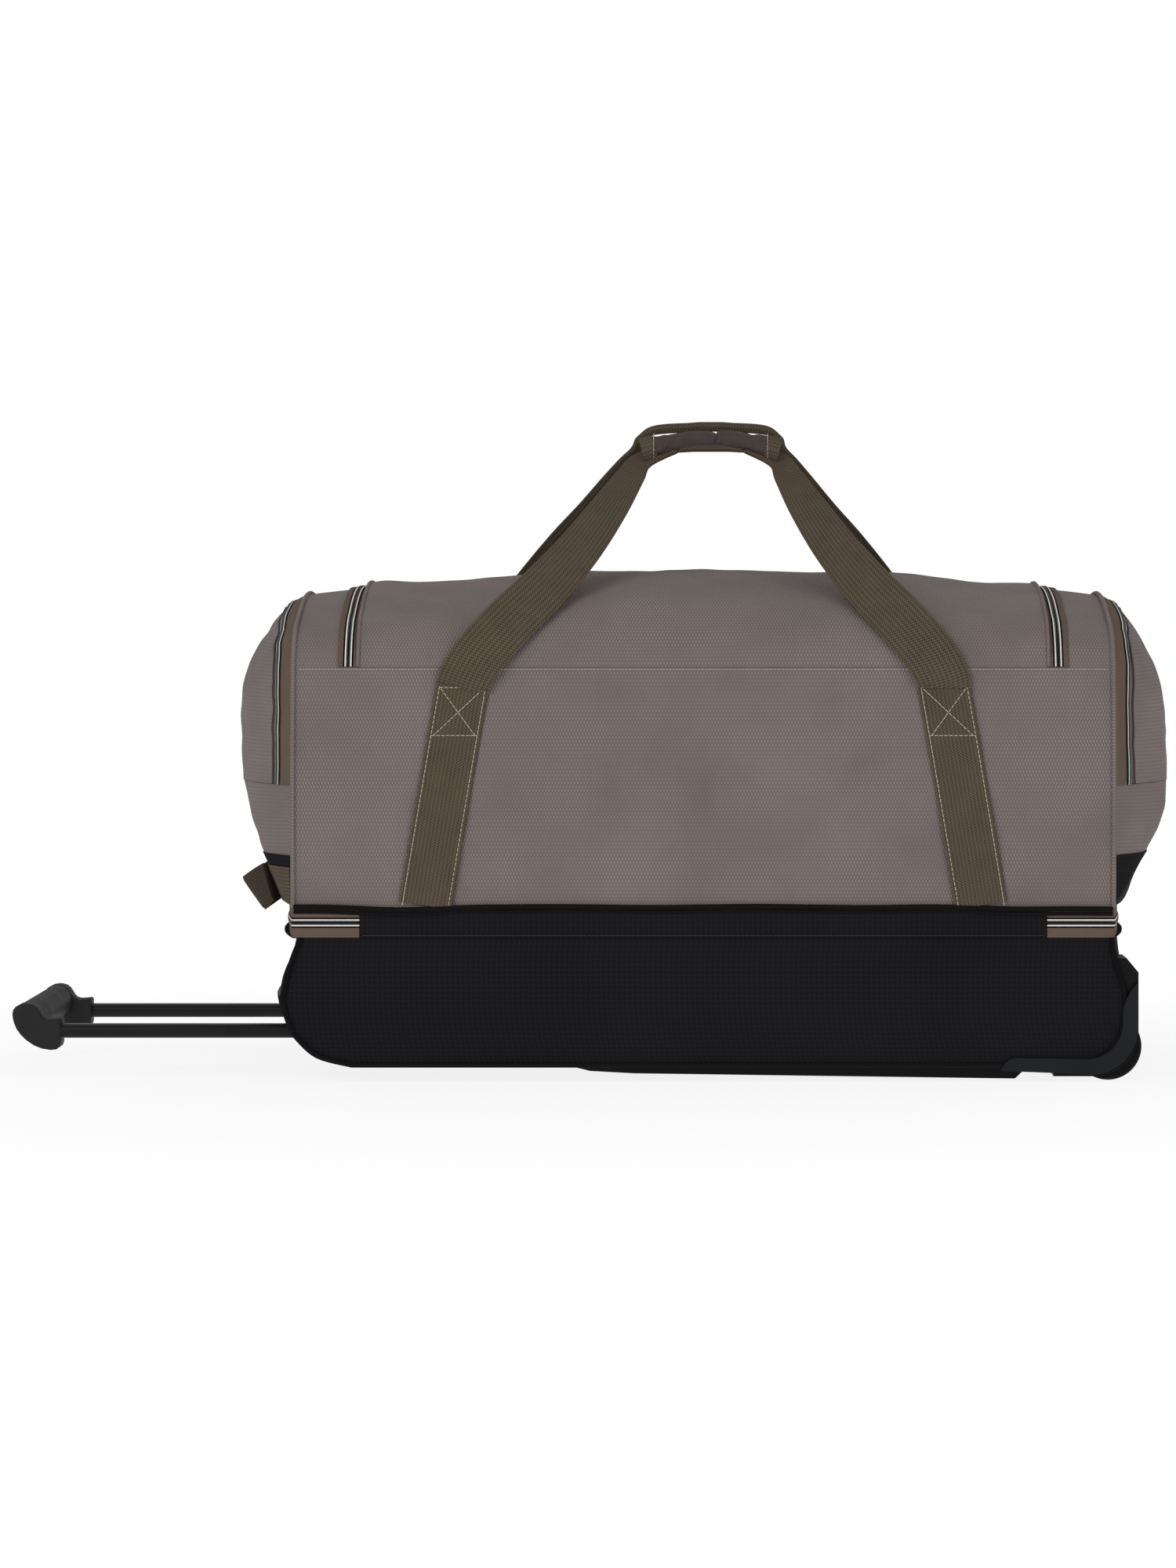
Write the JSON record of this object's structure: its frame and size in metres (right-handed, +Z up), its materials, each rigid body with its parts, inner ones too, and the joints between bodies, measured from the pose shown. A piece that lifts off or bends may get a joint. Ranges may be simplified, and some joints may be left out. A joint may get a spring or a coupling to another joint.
{
  "type": "rolling duffel bag",
  "caption": "Drop-bottom rolling duffel bag with tip-open upper compartment, U-zip lid, end pockets, carry straps, skid tray, corner wheels and pull-out handle.",
  "frame": {"origin": "middle of the base of the whole part's box, handle pulled out, on the floor", "axes": "+X towards the wheel end, +Y towards the side with the zip sliders, +Z up"},
  "size_m": [0.999, 0.392, 0.5653],
  "materials": {
    "taupe_fabric": "diamond-weave polyester with a slight gloss",
    "black_fabric": "black ripstop",
    "webbing": "ribbed webbing",
    "zip_tape": "woven tape with a coil zip",
    "moulded_plastic": "fine texture",
    "guard_plastic": "satin",
    "board": "stiff sheet",
    "lining": "plain lining",
    "tube_metal": "black, satin",
    "steel": "bare",
    "rubber": "moulded",
    "slider_metal": "dark enamel"
  },
  "bodies": {
    "base": {"skid_tray": "moulded_plastic", "corner_guard_near": "guard_plastic", "corner_guard_far": "guard_plastic", "wheel_housing_near": "moulded_plastic", "wheel_housing_far": "moulded_plastic", "axles": "steel", "base_board": "board", "lower_side_near": "black_fabric", "lower_side_far": "black_fabric", "lower_end_left": "black_fabric", "lower_bottom": "black_fabric", "lower_end_right": "black_fabric", "waist_zip_lower": "zip_tape", "waist_hinge_strip": "black_fabric", "handle_cup": "moulded_plastic", "outer_tubes": "tube_metal", "tube_brackets": "moulded_plastic"},
    "trolley": {"grip_body": "moulded_plastic", "grip_cover": "moulded_plastic", "inner_tubes": "tube_metal", "tube_bushes": "moulded_plastic"},
    "release": {"release_button": "guard_plastic", "push_rods": "steel"},
    "wheel_near": {"tyre_near": "rubber", "hub_near": "moulded_plastic"},
    "wheel_far": {"tyre_far": "rubber", "hub_far": "moulded_plastic"},
    "upper": {"upper_side_near": "taupe_fabric", "upper_side_far": "taupe_fabric", "end_wall_left": "lining", "end_wall_right": "lining", "end_pocket_left": "taupe_fabric", "end_pocket_right": "taupe_fabric", "pocket_zip_left": "zip_tape", "pocket_zip_right": "zip_tape", "shoulder_left": "taupe_fabric", "shoulder_right": "taupe_fabric", "top_rear_panel": "taupe_fabric", "lid_zip_outer": "zip_tape", "compartment_floor": "lining", "waist_zip_upper": "zip_tape", "sewn_straps_near": "webbing", "sewn_straps_far": "webbing", "haul_band": "webbing"},
    "lid": {"lid_panel": "taupe_fabric", "lid_zip_inner": "zip_tape"},
    "handle_near": {"strap_near": "webbing", "grip_wrap": "taupe_fabric"},
    "handle_far": {"strap_far": "webbing"},
    "pocket_left": {"pocket_cover_left": "taupe_fabric"},
    "pocket_right": {"pocket_cover_right": "taupe_fabric"},
    "end_loop": {"haul_loop": "webbing"},
    "lid_slider_left": {"lid_slider_left": "slider_metal"},
    "lid_slider_right": {"lid_slider_right": "slider_metal"},
    "waist_slider_left": {"waist_slider_left": "slider_metal"},
    "waist_slider_right": {"waist_slider_right": "slider_metal"},
    "pocket_slider_left": {"pocket_slider_left": "slider_metal"},
    "pocket_slider_right": {"pocket_slider_right": "slider_metal"}
  },
  "joints": [
    {"name": "trolley_slide", "type": "slide", "parent": "base", "child": "trolley", "axis": [1, 0, 0], "range_m": [0, 0.205]},
    {"name": "release_press", "type": "slide", "parent": "trolley", "child": "release", "axis": [1, 0, 0], "range_m": [0, 0.004], "stiffness_N_per_m": 400, "springref_m": -0.004},
    {"name": "wheel_near_spin", "type": "hinge", "parent": "base", "child": "wheel_near", "pos_m": [0.4365, -0.165, 0.0286], "axis": [0, 1, 0], "continuous": true},
    {"name": "wheel_far_spin", "type": "hinge", "parent": "base", "child": "wheel_far", "pos_m": [0.4365, 0.165, 0.0286], "axis": [0, 1, 0], "continuous": true},
    {"name": "upper_open", "type": "hinge", "parent": "base", "child": "upper", "pos_m": [0, -0.1904, 0.147], "axis": [1, 0, 0], "range_deg": [0, 100]},
    {"name": "lid_open", "type": "hinge", "parent": "upper", "child": "lid", "pos_m": [0, -0.1872, 0.3502], "axis": [1, 0, 0], "range_deg": [0, 100]},
    {"name": "handle_near_fold", "type": "hinge", "parent": "upper", "child": "handle_near", "pos_m": [0, -0.19278, 0.3352], "axis": [1, 0, 0], "range_deg": [0, 160]},
    {"name": "handle_far_fold", "type": "hinge", "parent": "upper", "child": "handle_far", "pos_m": [0, 0.19278, 0.3352], "axis": [-1, 0, 0], "range_deg": [0, 160]},
    {"name": "pocket_left_open", "type": "hinge", "parent": "upper", "child": "pocket_left", "pos_m": [-0.3095, 0, 0.2502], "axis": [0, -1, 0], "range_deg": [0, 60]},
    {"name": "pocket_right_open", "type": "hinge", "parent": "upper", "child": "pocket_right", "pos_m": [0.4965, 0, 0.2502], "axis": [0, 1, 0], "range_deg": [0, 60]},
    {"name": "end_loop_lift", "type": "hinge", "parent": "upper", "child": "end_loop", "pos_m": [-0.28, 0, 0.186], "axis": [0, 1, 0], "range_deg": [0, 60]},
    {"name": "lid_slider_left_run", "type": "hinge", "parent": "lid", "child": "lid_slider_left", "pos_m": [0.0935, 0.1292, -2.40093], "axis": [0, -1, 0], "range_deg": [0, 5.26]},
    {"name": "lid_slider_right_run", "type": "hinge", "parent": "lid", "child": "lid_slider_right", "pos_m": [0.0935, 0.1292, -2.40093], "axis": [0, 1, 0], "range_deg": [0, 5.26]},
    {"name": "waist_slider_left_run", "type": "slide", "parent": "base", "child": "waist_slider_left", "axis": [-1, 0, 0], "range_m": [0, 0.3]},
    {"name": "waist_slider_right_run", "type": "slide", "parent": "base", "child": "waist_slider_right", "axis": [1, 0, 0], "range_m": [0, 0.3]},
    {"name": "pocket_slider_left_run", "type": "slide", "parent": "upper", "child": "pocket_slider_left", "axis": [0.0795, 0, 0.9968], "range_m": [0, 0.036]},
    {"name": "pocket_slider_right_run", "type": "slide", "parent": "upper", "child": "pocket_slider_right", "axis": [-0.0795, 0, 0.9968], "range_m": [0, 0.036]}
  ],
  "couplings": [
    {"joint": "handle_near_fold", "follows": "lid_open", "ratio": 1.6},
    {"joint": "handle_far_fold", "follows": "lid_open", "ratio": 1.6}
  ]
}
